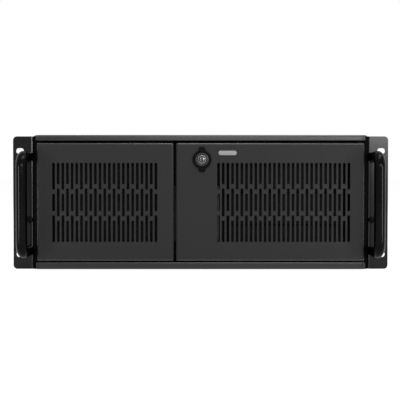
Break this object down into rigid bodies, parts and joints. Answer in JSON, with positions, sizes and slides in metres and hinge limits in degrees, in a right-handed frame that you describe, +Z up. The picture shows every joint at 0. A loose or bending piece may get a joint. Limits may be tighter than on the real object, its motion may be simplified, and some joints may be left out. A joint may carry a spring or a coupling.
{
  "type": "empty rackmount server case",
  "caption": "Empty 4U rackmount server case: black steel chassis with sliding lid, two lockable vented front doors, rack ears, bar handles, drive bays and fans",
  "frame": {"origin": "centre of the four rack slots, on the rear face of the ears", "axes": "+X to the right seen from the front, the front faces -Y, +Z up"},
  "size_m": [0.4826, 0.5067, 0.1721],
  "materials": {
    "case_paint": "fine satin black powder coat",
    "handle_enamel": "gloss black enamel",
    "zinc_sheet": "plain zinc-plated sheet",
    "lock_metal": "satin nickel plate",
    "black_plastic": "matt black moulding",
    "clear_window": "frosted grey light pipe",
    "filter_foam": "open black foam",
    "board_green": "green circuit board"
  },
  "bodies": {
    "case": {"base_tray": "case_paint", "bay_cover_1": "black_plastic", "bay_cover_2": "black_plastic", "bay_cover_3": "black_plastic", "bezel_frame": "case_paint", "control_board": "board_green", "control_panel": "black_plastic", "cross_brace": "zinc_sheet", "door_magnets": "black_plastic", "drive_cage": "zinc_sheet", "filter_frame": "black_plastic", "filter_pad": "filter_foam", "front_fan_frame": "black_plastic", "front_plate": "case_paint", "handles": "handle_enamel", "hinge_pins": "case_paint", "left_ear": "case_paint", "lock_strike": "zinc_sheet", "psu_bracket": "zinc_sheet", "rear_fan_frame_inner": "black_plastic", "rear_fan_frame_outer": "black_plastic", "rear_plate": "case_paint", "right_ear": "case_paint", "slot_covers": "zinc_sheet", "standoffs": "zinc_sheet", "status_lights": "black_plastic", "usb_sockets": "zinc_sheet"},
    "left_door": {"left_door": "case_paint", "left_catch_plate": "zinc_sheet"},
    "right_door": {"right_door": "case_paint", "right_catch_plate": "zinc_sheet", "status_window": "clear_window", "lock_rosette": "black_plastic", "lock_body": "lock_metal", "lock_clip": "zinc_sheet"},
    "lock_core": {"key_plug": "lock_metal", "lock_cam": "zinc_sheet", "cam_screw": "zinc_sheet"},
    "lid": {"top_cover": "case_paint", "cover_thumbscrews": "zinc_sheet"},
    "power_button": {"power_button": "black_plastic"},
    "reset_button": {"reset_button": "black_plastic"},
    "front_fan": {"front_fan_rotor": "black_plastic"},
    "rear_fan_inner": {"rear_fan_rotor_inner": "black_plastic"},
    "rear_fan_outer": {"rear_fan_rotor_outer": "black_plastic"}
  },
  "joints": [
    {"name": "left_door_hinge", "type": "hinge", "parent": "case", "child": "left_door", "pos_m": [-0.2034, -0.0092, 0], "axis": [0, 0, -1], "range_deg": [0, 95]},
    {"name": "right_door_hinge", "type": "hinge", "parent": "case", "child": "right_door", "pos_m": [0.2034, -0.0092, 0], "axis": [0, 0, 1], "range_deg": [0, 95]},
    {"name": "lock_turn", "type": "hinge", "parent": "right_door", "child": "lock_core", "pos_m": [0.0018, 0, 0.0553], "axis": [0, 1, 0], "range_deg": [0, 90]},
    {"name": "lid_slide", "type": "slide", "parent": "case", "child": "lid", "axis": [0, 1, 0], "range_m": [0, 0.46]},
    {"name": "power_press", "type": "slide", "parent": "case", "child": "power_button", "axis": [0, 1, 0], "range_m": [0, 0.002], "stiffness_N_per_m": 400, "springref_m": -0.001},
    {"name": "reset_press", "type": "slide", "parent": "case", "child": "reset_button", "axis": [0, 1, 0], "range_m": [0, 0.0015], "stiffness_N_per_m": 400, "springref_m": -0.001},
    {"name": "front_fan_spin", "type": "hinge", "parent": "case", "child": "front_fan", "pos_m": [-0.122, 0.03, 0.00065], "axis": [0, 1, 0], "continuous": true},
    {"name": "rear_fan_inner_spin", "type": "hinge", "parent": "case", "child": "rear_fan_inner", "pos_m": [0.078, 0.436, 0.0375], "axis": [0, 1, 0], "continuous": true},
    {"name": "rear_fan_outer_spin", "type": "hinge", "parent": "case", "child": "rear_fan_outer", "pos_m": [0.16, 0.436, 0.0375], "axis": [0, 1, 0], "continuous": true}
  ]
}
